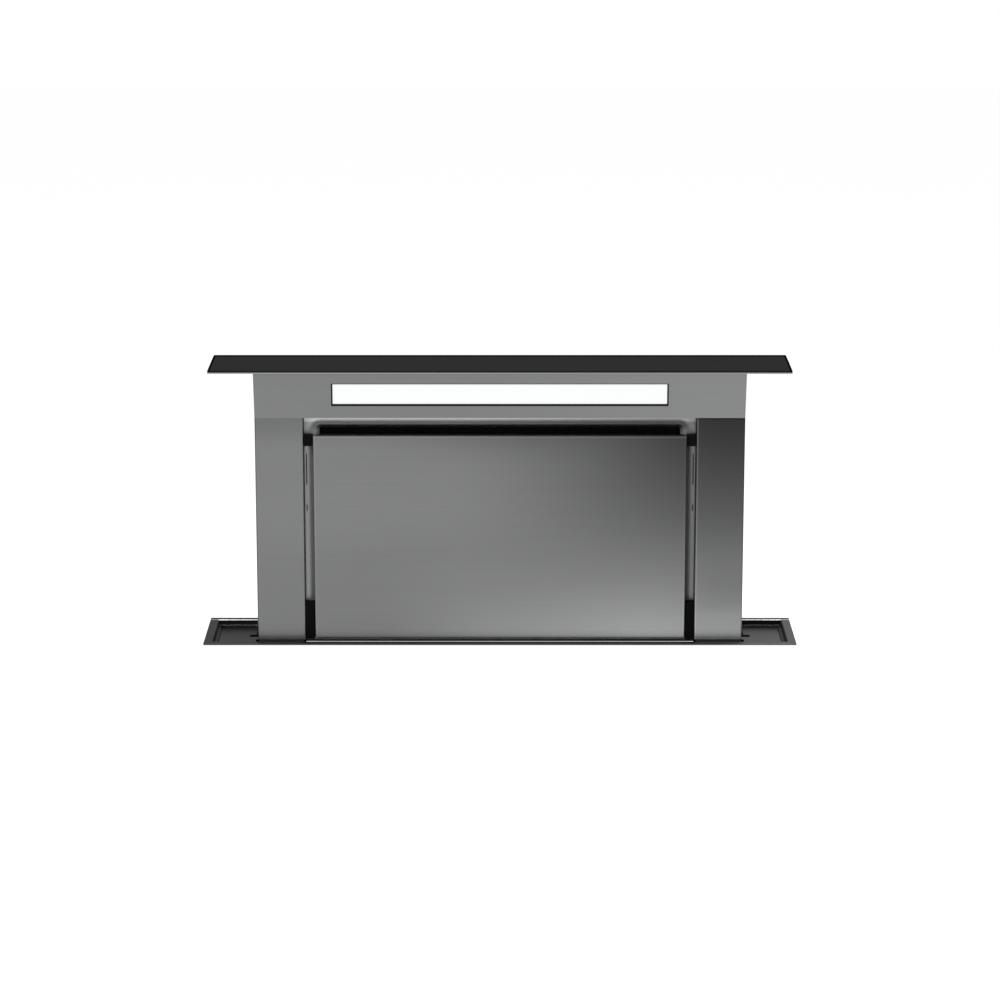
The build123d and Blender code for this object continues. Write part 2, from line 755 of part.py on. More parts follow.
with BuildPart() as bush:
    rod(across(leg_out_x - leg_t, shaft_y, shaft_z), bush_r, leg_t + outrigger_t)
    rod(across(plate_x, shaft_y, shaft_z), bush_flange_r, bush_flange_t)
    rod(across(leg_out_x - 2 * leg_t, shaft_y, shaft_z), shaft_r + shaft_play, 20, Mode.SUBTRACT)
save_both(bush, "shaft_bushes")

with BuildPart() as lift_gearbox:
    gear_y = (beam_front_y - 2 * motor_r, beam_front_y)
    gear_z = (shaft_z - 59, shaft_z + 22)
    block((gearbox_x - gearbox_w / 2, gearbox_x + gearbox_w / 2), gear_y, gear_z)
    fillet(lift_gearbox.edges().filter_by(Axis.X), 6)
    rod(across(gearbox_x - gearbox_w, shaft_y, shaft_z), shaft_r + shaft_play, 2 * gearbox_w, Mode.SUBTRACT)
save(lift_gearbox, "lift_gearbox")

with BuildPart() as lift_motor:
    motor_y, motor_z = beam_front_y - motor_r, gear_z[0] + motor_r + 3
    motor_x = gearbox_x + gearbox_w / 2
    rod(across(motor_x, motor_y, motor_z), motor_r - 0.5, motor_l)
    rod(across(motor_x + motor_l, motor_y, motor_z), motor_r - 5, 6)
    chamfer(lift_motor.edges().filter_by(GeomType.CIRCLE).sort_by(Axis.X)[-3:], 1.0)
save(lift_motor, "lift_motor")

with BuildPart() as stop_buffer:
    buffer_x = head_out_x - rail_head_t - run - buffer_r - 4
    with BuildSketch(Plane.XY.offset(floor_under)):
        with Locations((buffer_x, rail_y)):
            Circle(buffer_r)
    extrude(amount=-(floor_under - slider_top - run), taper=4)
save_both(stop_buffer, "stop_buffers")

# ---------------------------------------------------------------- casing
case_screw_x = case_x - case_return / 2 - 1
case_zs = [case_bottom + 40 + i * (-case_bottom - 110) / (case_screw_rows - 1) for i in range(case_screw_rows)]


def case_screw_holes():
    """Holes for the screws that hold the casing's front on its folded edges."""
    with BuildSketch(forward(0, -case_in_y + 3 * sheet, 0)) as holes:
        for z in case_zs:
            with Locations((case_screw_x, z), (-case_screw_x, z)):
                Circle(screw_r + seat / 2)
    extrude(holes.sketch, amount=8 * sheet, mode=Mode.SUBTRACT)


with BuildPart() as casing_shell:
    outline = (
        (-case_x + case_return, -case_in_y),
        (-case_x, -case_in_y),
        (-case_x, case_y),
        (case_x, case_y),
        (case_x, -case_in_y),
        (case_x - case_return, -case_in_y),
    )
    folded(Plane.XY.offset(case_bottom), outline, ledge_under - case_bottom, side=Side.RIGHT, radius=bend)
    for side in (-1, 1):
        edge = sorted((side * (case_in_x - case_return - 1), side * case_in_x))
        block(edge, (-case_in_y - 1, -case_in_y + 3), (skirt_z - 1, ledge_under), Mode.SUBTRACT)
    case_screw_holes()
save(casing_shell, "casing_shell")

with BuildPart() as casing_front:
    with BuildSketch(forward(0, -case_in_y, 0)):
        with Locations((0, (case_bottom + ledge_under) / 2)):
            Rectangle(2 * case_x, ledge_under - case_bottom)
        with Locations((0, fan_z)):
            Circle(inlet_r, mode=Mode.SUBTRACT)
    extrude(amount=sheet)
    case_screw_holes()
save(casing_front, "casing_front")

with BuildPart() as casing_bottom:
    low = (-case_in_y + sheet + seat, case_in_y - seat)
    side_x = case_in_x - seat
    block((-side_x, side_x), low, (case_bottom, case_bottom + case_pan_edge))
    fillet(casing_bottom.edges().filter_by(Axis.Z), bend)
    inner = (low[0] + sheet, low[1] - sheet)
    block((sheet - side_x, side_x - sheet), inner, (case_bottom + sheet, case_bottom + case_pan_edge), Mode.SUBTRACT)
save(casing_bottom, "casing_bottom")

with BuildPart() as casing_screws:
    for side in (-1, 1):
        for z in case_zs:
            rod(forward(side * case_screw_x, -case_in_y + sheet + 3, z), screw_r, 2 * sheet + 3)
            rod(forward(side * case_screw_x, -case_y, z), screw_head_r, screw_head_h)
save(casing_screws, "casing_screws")

# ---------------------------------------------------------------- blower
first_x, first_z = -scroll_step / 2, fan_z + scroll_step / 2
tongue = (
    first_x + scroll_r * math.cos(math.radians(tongue_angle)),
    first_z + scroll_r * math.sin(math.radians(tongue_angle)),
)
bottom_z = first_z - scroll_step - (scroll_r + 2 * scroll_step)


def scroll_outline():
    """The scroll's air space: three arcs that grow by a step each quarter turn, and its outlet."""
    with BuildLine() as outline:
        CenterArc((first_x, first_z), scroll_r, tongue_angle, 90 - tongue_angle)
        CenterArc((first_x, first_z - scroll_step), scroll_r + scroll_step, 90, 90)
        low_arc = CenterArc(
            (first_x + scroll_step, first_z - scroll_step), scroll_r + 2 * scroll_step, 180, 90
        )
        Polyline(low_arc @ 1, (outlet_x, bottom_z), (outlet_x, tongue[1]), tongue)
    make_face(outline.edges())


def beyond_outlet(margin):
    """Trims whatever stands past the outlet's mouth."""
    with Locations((outlet_x + margin, fan_z)):
        Rectangle(2 * margin, 8 * scroll_r, mode=Mode.SUBTRACT)


with BuildPart() as scroll_wall:
    with BuildSketch(forward(0, -case_y - sheet, 0)):
        scroll_outline()
        offset(amount=sheet)
        beyond_outlet(scroll_lip)
    extrude(amount=scroll_depth - 2 * sheet)
    with BuildSketch(forward(0, -case_y - sheet, 0)):
        scroll_outline()
    extrude(amount=scroll_depth - 2 * sheet, mode=Mode.SUBTRACT)
save(scroll_wall, "scroll_wall")


def scroll_plate(y, hole_r):
    """A side plate of the scroll, with a lip round it and a round hole on the fan's axis."""
    with BuildSketch(forward(0, y, 0)) as plate:
        scroll_outline()
        offset(amount=scroll_lip)
        beyond_outlet(2 * scroll_lip)
        with Locations((0, fan_z)):
            Circle(hole_r, mode=Mode.SUBTRACT)
    extrude(plate.sketch, amount=sheet)


with BuildPart() as scroll_back_plate:
    scroll_plate(-case_y, inlet_r)
save(scroll_back_plate, "scroll_back_plate")

with BuildPart() as scroll_front_plate:
    scroll_plate(scroll_front_y + sheet, 10.0)
save(scroll_front_plate, "scroll_front_plate")

with BuildPart() as inlet_ring:
    throat_y = fan_front_y + 2.0
    with BuildSketch(Plane(origin=(0, 0, fan_z), x_dir=(1, 0, 0), z_dir=(0, 0, 1))):
        with BuildLine():
            Polyline(
                (inlet_r + 12, -case_in_y),
                (inlet_r - 2, -case_in_y),
                (inlet_r - 2, throat_y + 8),
                (inlet_throat_r, throat_y),
            )
            offset(amount=sheet, side=Side.RIGHT)
        make_face()
    revolve(axis=Axis((0, 0, fan_z), (0, 1, 0)))
save(inlet_ring, "inlet_ring")

blade_w = fan_r - fan_eye_r - 1.0
with BuildSketch() as blade_form:
    with BuildLine():
        ThreePointArc((-blade_w / 2, -2.5), (0, 1.8), (blade_w / 2, -1.0))
        offset(amount=fan_blade_t, side=Side.LEFT)
    make_face()

with BuildPart() as impeller:
    disc_y = fan_front_y - fan_w
    rod(forward(0, disc_y, fan_z), fan_r, fan_disc_t)
    rod(forward(0, disc_y + 18, fan_z), 12, 18)
    with BuildSketch(forward(0, fan_front_y, fan_z)):
        Circle(fan_r)
        Circle(fan_eye_r, mode=Mode.SUBTRACT)
    extrude(amount=fan_disc_t)
    with BuildSketch(forward(0, fan_front_y - fan_disc_t, fan_z)):
        with PolarLocations((fan_r + fan_eye_r) / 2, fan_blades):
            add(blade_form.sketch)
    extrude(amount=fan_w - fan_disc_t)
    rod(forward(0, disc_y + 19, fan_z), spindle_r + 0.02, 24, Mode.SUBTRACT)
save(impeller, "impeller")

with BuildPart() as fan_spindle:
    rod(forward(0, disc_y + 20, fan_z), spindle_r, disc_y + 20 - scroll_front_y + fan_motor_l - 8)
save(fan_spindle, "fan_spindle")

with BuildPart() as blower_motor:
    rod(forward(0, scroll_front_y, fan_z), fan_motor_r + 10, 3)
    rod(forward(0, scroll_front_y - 3, fan_z), fan_motor_r, fan_motor_l - 3)
    chamfer(blower_motor.edges().filter_by(GeomType.CIRCLE).sort_by(Axis.Y)[0], 6)
    rod(forward(0, scroll_front_y + 1, fan_z), spindle_r + shaft_play, fan_motor_l - 5, Mode.SUBTRACT)
    with BuildSketch(forward(0, scroll_front_y - fan_motor_l + 4, fan_z)):
        with PolarLocations(28, 10):
            SlotOverall(18, 4)
    extrude(amount=6, mode=Mode.SUBTRACT)
save(blower_motor, "blower_motor")

collar_z = (tongue[1] + bottom_z) / 2
mouth_h = tongue[1] - bottom_z
adaptor_end = outlet_x + adaptor_l


def adaptor_form(wall):
    """The outlet's run from the scroll's mouth to the round collar, with or without its wall."""
    with BuildSketch(across(outlet_x, 0, 0)) as mouth:
        with Locations((-case_y - scroll_depth / 2, collar_z)):
            RectangleRounded(scroll_depth - 2 * sheet + 2 * wall, mouth_h + 2 * wall, 2 + wall)
    with BuildSketch(across(adaptor_end, 0, 0)) as ring:
        with Locations((collar_y, collar_z)):
            Circle(collar_r - sheet + wall)
    loft([mouth.sketch, ring.sketch])


with BuildPart() as adaptor_space:
    adaptor_form(0.0)

with BuildPart() as outlet_adaptor:
    adaptor_form(sheet)
    add(adaptor_space.part, mode=Mode.SUBTRACT)
save(outlet_adaptor, "outlet_adaptor")

damper_x = adaptor_end + 24.0
with BuildPart() as duct_collar:
    rod(across(adaptor_end, collar_y, collar_z), collar_r + collar_bead, 2)
    rod(across(adaptor_end, collar_y, collar_z), collar_r, collar_l)
    rod(across(adaptor_end, collar_y, collar_z), collar_r - sheet, collar_l, Mode.SUBTRACT)
    rod(Plane((damper_x, collar_y, collar_z - 2 * collar_r)), rod_r + seat / 2, 4 * collar_r, Mode.SUBTRACT)
save(duct_collar, "duct_collar")

with BuildPart() as damper_rod:
    rod(Plane((damper_x, collar_y, collar_z - collar_r)), rod_r, 2 * collar_r)
save(damper_rod, "damper_rod")

flap_r = collar_r - sheet - flap_gap
hinge_gap = knuckle_r + 0.4
knuckle_l = 30.0
knuckle_starts = {-1: (-63.0, 1.0), 1: (-31.0, 33.0)}
for side, name in ((-1, "front"), (1, "back")):
    with BuildPart() as damper_flap:
        with BuildSketch(across(damper_x - flap_t / 2, collar_y, collar_z)):
            Circle(flap_r)
            with Locations((-side * flap_r + side * hinge_gap, 0)):
                Rectangle(2 * flap_r, 3 * flap_r, mode=Mode.SUBTRACT)
        extrude(amount=flap_t)
        for start in knuckle_starts[side]:
            low = collar_z + start
            rod(Plane((damper_x, collar_y, low)), knuckle_r, knuckle_l)
            web = sorted((collar_y + side * knuckle_r / 2, collar_y + side * (hinge_gap + 1)))
            block((damper_x - flap_t / 2, damper_x + flap_t / 2), web, (low, low + knuckle_l))
        rod(Plane((damper_x, collar_y, collar_z - collar_r)), rod_r + shaft_play, 2 * collar_r, Mode.SUBTRACT)
    save(damper_flap, f"damper_flap_{name}")

# ---------------------------------------------------------------- control box and brackets
box_front = -case_y - box_d
box_span_x = (box_x - box_w / 2, box_x + box_w / 2)
box_span_z = (box_z - box_h / 2, box_z + box_h / 2)
with BuildPart() as control_box:
    block(box_span_x, (box_front + box_wall, -case_y), box_span_z)
    fillet(control_box.edges().filter_by(Axis.Y), 4)
    hollow_x = (box_span_x[0] + box_wall, box_span_x[1] - box_wall)
    hollow_z = (box_span_z[0] + box_wall, box_span_z[1] - box_wall)
    block(hollow_x, (box_front + box_wall, -case_y - box_wall), hollow_z, Mode.SUBTRACT)
save(control_box, "control_box")

with BuildPart() as control_cover:
    block(box_span_x, (box_front, box_front + box_wall), box_span_z)
    fillet(control_cover.edges().filter_by(Axis.Y), 4)
    fillet(control_cover.faces().sort_by(Axis.Y)[0].edges(), 1)
save(control_cover, "control_cover")

with BuildPart() as cable_glands:
    for offset_x in (-40, 40):
        where = Plane((box_x + offset_x, (box_front - case_y) / 2, box_span_z[0]), z_dir=(0, 0, -1))
        with BuildSketch(where):
            RegularPolygon(11, 6)
        extrude(amount=5)
        rod(where, 8, 14)
        rod(where.offset(14 - 6), 4, 8, Mode.SUBTRACT)
save(cable_glands, "cable_glands")

with BuildPart() as bracket:
    outline = ((-case_y, case_bottom + bracket_h), (-case_y, case_bottom), (-case_y - bracket_foot, case_bottom))
    start = across(bracket_x - bracket_w / 2, 0, 0)
    folded(start, outline, bracket_w, bracket_t, Side.RIGHT, bracket_t + 1)
    for step in (-0.5, 0.5):
        hole = Plane((bracket_x, bracket_hole_y + step * bracket_hole_pitch, case_bottom - 1))
        rod(hole, bracket_hole_r, bracket_t + 2, Mode.SUBTRACT)
save_both(bracket, "fixing_brackets")
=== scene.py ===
"""The looks of the raised downdraft vent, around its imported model. Metres, +Z up, front towards -Y."""

import json
import math

import bmesh
import bpy
from mathutils import Matrix, Vector


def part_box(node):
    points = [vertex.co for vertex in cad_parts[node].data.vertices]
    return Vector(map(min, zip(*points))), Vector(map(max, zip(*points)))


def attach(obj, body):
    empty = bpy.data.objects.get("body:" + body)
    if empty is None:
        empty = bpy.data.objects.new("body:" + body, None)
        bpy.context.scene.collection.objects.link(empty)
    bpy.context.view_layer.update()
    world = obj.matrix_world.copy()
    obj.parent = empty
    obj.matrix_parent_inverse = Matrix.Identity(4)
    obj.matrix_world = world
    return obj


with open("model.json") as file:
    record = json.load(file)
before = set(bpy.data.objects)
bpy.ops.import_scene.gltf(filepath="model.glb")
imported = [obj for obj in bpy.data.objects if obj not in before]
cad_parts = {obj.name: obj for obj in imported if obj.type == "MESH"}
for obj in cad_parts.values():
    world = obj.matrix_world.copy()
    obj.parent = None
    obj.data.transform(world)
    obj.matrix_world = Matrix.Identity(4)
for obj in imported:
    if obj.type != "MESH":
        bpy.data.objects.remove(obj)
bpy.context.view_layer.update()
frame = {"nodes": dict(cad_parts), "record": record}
nodes = frame["nodes"]

MM = 0.001
HEAD_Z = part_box("head_housing")[0][2]       # the head's lower edge, where pillars and intake end
RIM_WIDTH = 12.0 * MM                       # of the tray
LEDGE_WIDTH = 6.0 * MM                      # of the step inside the tray's rim
ROLL_DEPTH = 22.0 * MM                      # from the intake's flat face to the end of its roll
MESH_PITCH = 4.5 * MM                       # of the filters' expanded mesh


# ---------------------------------------------------------------- shader maths
class Value:
    """A shader socket that can be added, multiplied and so on like a number."""

    def __init__(self, finish, socket):
        self.finish, self.socket = finish, socket

    def __add__(self, other):
        return self.finish.maths("ADD", self, other)

    def __radd__(self, other):
        return self.finish.maths("ADD", other, self)

    def __sub__(self, other):
        return self.finish.maths("SUBTRACT", self, other)

    def __rsub__(self, other):
        return self.finish.maths("SUBTRACT", other, self)

    def __mul__(self, other):
        return self.finish.maths("MULTIPLY", self, other)

    def __rmul__(self, other):
        return self.finish.maths("MULTIPLY", other, self)

    def __truediv__(self, other):
        return self.finish.maths("DIVIDE", self, other)

    def power(self, other):
        return self.finish.maths("POWER", self, other)

    def step(self, low, high):
        """0 below low, 1 above high, smooth between."""
        settings = {"interpolation_type": "SMOOTHSTEP"}
        return self.finish.node("ShaderNodeMapRange", settings, self, low, high, 0.0, 1.0)

    def fade(self, low, high):
        """1 below low, 0 above high, smooth between."""
        return 1.0 - self.step(low, high)

    def rise(self, edge, start, end):
        """A step that goes from start to end, both in millimetres past an edge of the part."""
        return self.step(edge + start * MM, edge + end * MM)

    def fall(self, edge, start, end):
        """A fade that goes from start to end, both in millimetres past an edge of the part."""
        return self.fade(edge + start * MM, edge + end * MM)


class Finish:
    """A material under construction: its nodes, and its Principled shader's sockets."""

    def __init__(self, name, **constants):
        self.material = bpy.data.materials.new(name)
        self.material.use_nodes = True
        self.tree = self.material.node_tree
        self.shader = self.tree.nodes["Principled BSDF"]
        for key, value in constants.items():
            socket = key.replace("_", " ").title().replace("Ior", "IOR")
            self.shader.inputs[socket].default_value = value

    def node(self, kind, settings=None, *values, out=0, **named):
        """Adds a node, sets it up, then fills its sockets with values or links."""
        new = self.tree.nodes.new(kind)
        for key, value in (settings or {}).items():
            setattr(new, key, value)
        sockets = [s for s in new.inputs if s.enabled]
        pairs = list(zip(sockets, values))
        pairs += [(new.inputs[key.replace("_", " ")], value) for key, value in named.items()]
        for socket, value in pairs:
            if isinstance(value, Value):
                self.tree.links.new(value.socket, socket)
            else:
                socket.default_value = value
        found = new.outputs[out] if isinstance(out, str) else [s for s in new.outputs if s.enabled][out]
        return Value(self, found)

    def maths(self, operation, *values):
        return self.node("ShaderNodeMath", {"operation": operation}, *values)

    def larger(self, first, second):
        return self.maths("MAXIMUM", first, second)

    def place(self):
        """The point on the object, as a vector and as its three numbers."""
        point = self.node("ShaderNodeTexCoord", out="Object")
        return point, [self.node("ShaderNodeSeparateXYZ", None, point, out=i) for i in range(3)]

    def scaled(self, vector, factors):
        """A vector, or a colour, multiplied number by number."""
        return self.node("ShaderNodeVectorMath", {"operation": "MULTIPLY"}, vector, factors)

    def noise(self, where, scale, detail=2.0, roughness=0.5):
        """Noise from 0 to 1. A place that is already scaled takes a scale of 1."""
        return self.node(
            "ShaderNodeTexNoise", None, Vector=where, Scale=scale, Detail=detail, Roughness=roughness
        )

    def blend(self, amount, first, second):
        """A colour between two colours."""
        return self.node("ShaderNodeMix", {"data_type": "RGBA"}, amount, first, second)

    def grey(self, value, tint=(1.0, 1.0, 1.0)):
        """A colour from a brightness and a tint."""
        return self.scaled(self.node("ShaderNodeCombineXYZ", None, value, value, value), tint)

    def bump(self, height, strength, distance=0.2 * MM):
        relief = self.node("ShaderNodeBump", None, Strength=strength, Distance=distance, Height=height)
        self.link("Normal", relief)

    def link(self, name, value):
        self.tree.links.new(value.socket, self.shader.inputs[name])


def rgb(red, green, blue):
    return (red, green, blue, 1.0)


# ---------------------------------------------------------------- stainless steel
STEEL_TINT = (0.985, 1.0, 0.995)
STREAKS = (2.5, 900.0, 900.0)               # of the brushing, in a metre along x, y and z


def grain(finish, point):
    """Brushing: thin streaks that run from side to side, from 0 to 1."""
    return finish.noise(finish.scaled(point, STREAKS), 1.0, detail=3.0, roughness=0.65)


def brushed(finish, shade, roughness, streak, depth=0.12):
    """Gives a finish its steel's shade, its gloss and the relief of its brushing."""
    finish.link("Base Color", finish.grey(shade, STEEL_TINT))
    finish.link("Roughness", roughness)
    finish.bump(streak, depth)
    return finish.material


def brushed_front(name, painted_edge_lights):
    """Brushed stainless with a painted reflection in its colour, which falls off towards the upper right,
    as in the photograph.

    Height counts from 0 at the worktop to 1 at the head.
    """
    finish = Finish(name, metallic=1.0)
    point, (x, _, z) = finish.place()
    height = z / HEAD_Z
    # Painted reflection: darker towards the upper right, with a painted glow low down in the middle.
    right_foot, share_left_at_head = 0.285, 0.111
    left_shade = 0.165 + 0.018 * height.step(0.30, 0.60) - 0.035 * height.step(0.85, 1.0)
    fall_off = finish.maths("POWER", share_left_at_head, height)
    right_shade = right_foot * fall_off * (1.0 + 0.4 * height * (1.0 - height))
    painted_low_glow = 0.06 * x.step(-0.20, 0.0) * x.fade(0.20, 0.34) * (1.0 - height).power(4.0)
    shade = left_shade + x.step(-0.10, 0.34) * (right_shade - left_shade) + painted_low_glow

    # Painted shade under the middle of the head and low on the right; painted light just above the tray.
    centre = x.step(-0.22, 0.0) * (1.0 - 0.75 * x.step(0.02, 0.20))
    painted_shade_under_head = 0.26 * height.step(0.75, 1.0) * centre
    painted_shade_low_right = 0.12 * height.step(0.10, 0.18) * height.fade(0.25, 0.40) * x.step(0.25, 0.33)
    painted_light_above_tray = 0.30 * z.fade(0.0, 16.0 * MM) + 0.9 * z.fade(-2.0 * MM, 6.0 * MM)
    shade = shade * (1.0 - painted_shade_under_head) * (1.0 - painted_shade_low_right) * (1.0 + painted_light_above_tray)

    streak = grain(finish, point)
    cloud = finish.noise(finish.scaled(point, (3.0, 3.0, 9.0)), 1.0)
    # Painted highlights and painted shade along the edges.
    shade = painted_edge_lights(finish, x, z, shade) * (0.90 + 0.20 * streak) * (0.95 + 0.10 * cloud)
    return brushed(finish, shade, 0.31 + 0.10 * streak, streak)


def panel_painted_edge_lights(finish, x, z, shade):
    """The panel's folds: a painted highlight and a painted dark line along its top, painted highlights down
    its sides.
    """
    low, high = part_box("front_panel")
    painted_top_highlight = z.rise(high[2], -4.0, -3.0)
    painted_top_fold_shade = z.rise(high[2], -2.0, -1.5)
    sides = finish.larger(x.fall(low[0], 2.0, 4.0), x.rise(high[0], -4.0, -2.0))
    return (shade + 0.035 * painted_top_highlight) * (1.0 - 0.55 * painted_top_fold_shade + 0.15 * sides)


def pillar_painted_edge_lights(finish, x, z, shade):
    """Painted dark lines down the pillars' outer edges. The right one also has a painted shadow line under
    the head, and a painted highlight down its inner edge."""
    low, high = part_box("pillar_right")
    painted_inner_highlight = x.rise(low[0], -1.0, 0.0) * x.fall(low[0], 2.0, 3.0)
    painted_outer_edge_shade = x.rise(high[0], -2.0, -1.5) + x.fall(-high[0], 1.5, 2.0)
    painted_shade_under_head = z.rise(high[2], -3.0, -2.0) * x.step(0.0, 0.1)
    return (shade + 0.06 * painted_inner_highlight) * (1.0 - 0.35 * finish.larger(painted_shade_under_head, painted_outer_edge_shade))


def brushed_head():
    """The head's brushed steel, with a painted reflection that makes it a little lighter towards the right.
    """
    finish = Finish("stainless_head", metallic=1.0)
    point, (x, _, _) = finish.place()
    streak = grain(finish, point)
    shade = (0.178 + 0.030 * x.step(-0.10, 0.36)) * (0.90 + 0.20 * streak)
    return brushed(finish, shade, 0.31 + 0.10 * streak, streak)


def brushed_plain(name, brightness):
    """Brushed stainless of one even shade."""
    finish = Finish(name, metallic=1.0)
    point, _ = finish.place()
    streak = grain(finish, point)
    cloud = finish.noise(finish.scaled(point, (4.0, 4.0, 10.0)), 1.0)
    shade = brightness * (0.88 + 0.24 * streak) * (0.93 + 0.14 * cloud)
    return brushed(finish, shade, 0.33 + 0.10 * streak, streak)


def intake_steel():
    """The rolled lip: painted light on its roll, painted shade where it turns into the duct, and a glowing
    painted highlight on its sill's edge.
    """
    finish = Finish("intake_steel", metallic=0.5, emission_strength=1.0)
    point, (x, y, z) = finish.place()
    streak = grain(finish, point)
    low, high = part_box("intake_frame")
    face_y = high[1] - ROLL_DEPTH

    # Painted shade where the roll turns into the duct.
    side_turn = y.rise(face_y, 15.5, 19.5)
    top_turn = y.rise(face_y, 5.0, 7.5)
    inwards = side_turn + z.rise(HEAD_Z, -22.0, -16.0) * (top_turn - side_turn)
    # Painted light on the roll and just under the head, and a painted reflection darker towards the right.
    painted_roll_light = 0.70 + 0.30 * y.rise(face_y, -0.1, 2.5) + y.rise(face_y, 1.5, 6.0)
    top_light = 0.6 * z.rise(HEAD_Z, -10.5, -7.5) * z.fall(HEAD_Z, -4.5, -1.5)
    shade = (0.46 - 0.18 * x.step(-0.10, 0.30)) * (painted_roll_light + top_light) * (1.0 - 0.97 * inwards)
    shade = shade * (0.92 + 0.16 * streak)

    # Painted highlight along the sill's front edge, with a painted glow.
    painted_sill_highlight = y.fall(low[1], 5.5, 7.5)
    finish.link("Emission Color", finish.grey(0.28 * painted_sill_highlight))
    return brushed(finish, shade + painted_sill_highlight * (0.95 - shade), 0.34 + 0.30 * inwards, streak, depth=0.08)


def before_pillar(x, name):
    """1 in front of a pillar, 0 at its sides and past them."""
    low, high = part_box(name)
    return x.rise(low[0], 0.0, 12.0) * x.fall(high[0], -12.0, 0.0)


def tray_steel():
    """The tray's brushed stainless: dark with a painted reflection of the room, and bright with painted
    highlights on its inner edges.
    """
    finish = Finish("stainless_tray", metallic=1.0, specular_tint=rgb(0.54, 0.54, 0.54))
    point, (x, y, z) = finish.place()
    streak = grain(finish, point)
    low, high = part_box("flange_tray")
    top_z = high[2]
    on_rim = z.rise(top_z, -1.5, -1.0)
    on_floor = z.fall(top_z, -10.0, -8.0)

    back_rim = high[1] - RIM_WIDTH
    painted_rim_highlight = y.rise(back_rim, -0.8, -0.2) * y.fall(back_rim, 0.7, 1.2) * z.rise(top_z, -1.1, -0.7)
    back_ledge = back_rim - LEDGE_WIDTH
    ledge = y.rise(back_ledge, 0.0, 1.2) * z.rise(top_z, -9.0, -8.0) * z.fall(top_z, -7.0, -6.0)
    # Painted reflections of the pillars on the front rim.
    front_strip = y.rise(low[1], 5.0, 6.5) * y.fall(low[1], 18.0, 19.0) * on_rim
    pillars = before_pillar(x, "pillar_left") + before_pillar(x, "pillar_right")

    # Painted reflection: lighter on the floor towards the right and on the rim's right end.
    shade = 0.045 + on_floor * (0.018 + 0.035 * x.step(-0.1, 0.1))
    shade = shade + 0.06 * front_strip * pillars + 0.05 * on_rim * x.step(0.32, 0.38)
    # Painted highlights on the rim's inner edge and on the ledge.
    shade = shade * (0.85 + 0.30 * streak) + 0.90 * (painted_rim_highlight + ledge)
    return brushed(finish, shade, 0.33 + 0.10 * streak, streak, depth=0.04)


# ---------------------------------------------------------------- other metals
COOL_TINT = (0.97, 1.0, 1.02)


def galvanised(name, brightness):
    """Zinc-coated sheet with its frost-like spangle."""
    finish = Finish(name, metallic=0.85)
    point, _ = finish.place()
    spangle = finish.node("ShaderNodeTexVoronoi", {"feature": "F1"}, Vector=point, Scale=130.0, out="Color")
    flake = finish.node("ShaderNodeSeparateXYZ", None, spangle)
    cloud = finish.noise(point, 9.0, detail=4.0)
    shade = brightness * (0.78 + 0.22 * flake + 0.22 * cloud)
    finish.link("Base Color", finish.grey(shade, COOL_TINT))
    finish.link("Roughness", 0.34 + 0.22 * flake)
    finish.bump(flake, 0.10, 0.1 * MM)
    return finish.material


def turned_metal(name, colour, roughness):
    """Machined, cast or plated metal, slightly uneven."""
    finish = Finish(name, metallic=1.0)
    point, _ = finish.place()
    cloud = finish.noise(point, 40.0, detail=5.0, roughness=0.6)
    dull = finish.noise(point, 6.0)
    darker = rgb(*[0.76 * c for c in colour])
    finish.link("Base Color", finish.blend(cloud * 0.7 + dull * 0.3, darker, rgb(*colour)))
    finish.link("Roughness", roughness - 0.08 + 0.16 * cloud)
    finish.bump(cloud, 0.10)
    return finish.material


def filter_mesh():
    """Expanded aluminium mesh with the dark gaps between its strands, in shade towards its top."""
    finish = Finish("filter_mesh", metallic=0.9)
    _, (x, _, z) = finish.place()
    turns = 2.0 * math.pi / MESH_PITCH
    strands_up = finish.maths("SINE", (x + z) * turns)
    strands_down = finish.maths("SINE", (x - z) * turns)
    strand = finish.larger(strands_up, strands_down).step(-0.1, 0.8)
    top_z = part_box("filter_left")[1][2]
    shade = (0.012 + 0.288 * strand) * (1.0 - 0.95 * z.rise(top_z, -28.0, -18.0))
    finish.link("Base Color", finish.grey(shade))
    finish.link("Roughness", 0.60 - 0.20 * strand)
    finish.bump(strand, 0.8, 1.0 * MM)
    return finish.material


# ---------------------------------------------------------------- paint, plastic and glass
def satin_paint(name, colour, roughness=0.5):
    """Powder coat with its faint orange peel."""
    finish = Finish(name, metallic=0.0)
    point, _ = finish.place()
    peel = finish.noise(point, 420.0, detail=1.0)
    dust = finish.noise(point, 5.0, detail=4.0)
    lighter = rgb(*[c * 1.5 + 0.006 for c in colour])
    finish.link("Base Color", finish.blend(dust, rgb(*colour), lighter))
    finish.link("Roughness", roughness + 0.10 * dust)
    finish.bump(peel, 0.20, 0.4 * MM)
    return finish.material


def grained_plastic(name, colour, roughness=0.55, pebbles=900.0, shine=0.4):
    """Moulded plastic or rubber with a fine pebbled skin."""
    finish = Finish(name, metallic=0.0, specular_ior_level=shine)
    point, _ = finish.place()
    skin = finish.noise(point, pebbles, roughness=0.6)
    dull = finish.noise(point, 14.0)
    lighter = rgb(*[min(1.0, c * 1.25 + 0.004) for c in colour])
    finish.link("Base Color", finish.blend(dull * 0.6 + skin * 0.4, rgb(*colour), lighter))
    finish.link("Roughness", roughness - 0.06 + 0.14 * skin)
    finish.bump(skin, 0.25, 0.3 * MM)
    return finish.material


